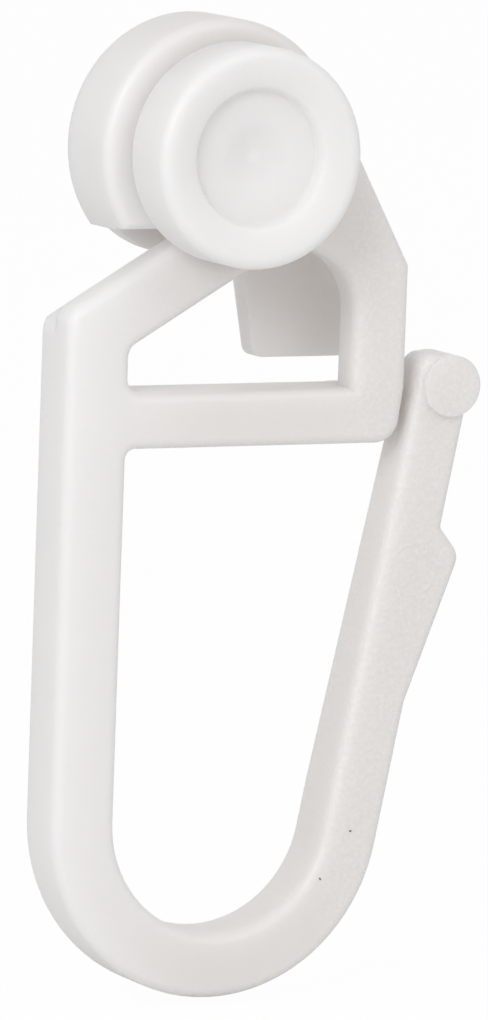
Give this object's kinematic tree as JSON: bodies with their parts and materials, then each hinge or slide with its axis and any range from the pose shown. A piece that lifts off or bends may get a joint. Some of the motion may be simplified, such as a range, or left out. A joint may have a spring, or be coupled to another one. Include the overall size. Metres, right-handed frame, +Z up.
{
  "type": "curtain_glider",
  "caption": "One-piece moulded white plastic curtain glider: a grooved round head that rides a rail lip, over an open frame with a sprung hook for the curtain",
  "frame": {"origin": "middle of the flat bearing face under the round head, where the glider sits on the rail's lip", "axes": "+Z up, +X along the rail, +Y from the front button to the rear tongue"},
  "size_m": [0.0212, 0.0094, 0.0456],
  "materials": {
    "milky_plastic": "satin moulded"
  },
  "bodies": {
    "root": {"glider": "milky_plastic"}
  },
  "joints": []
}
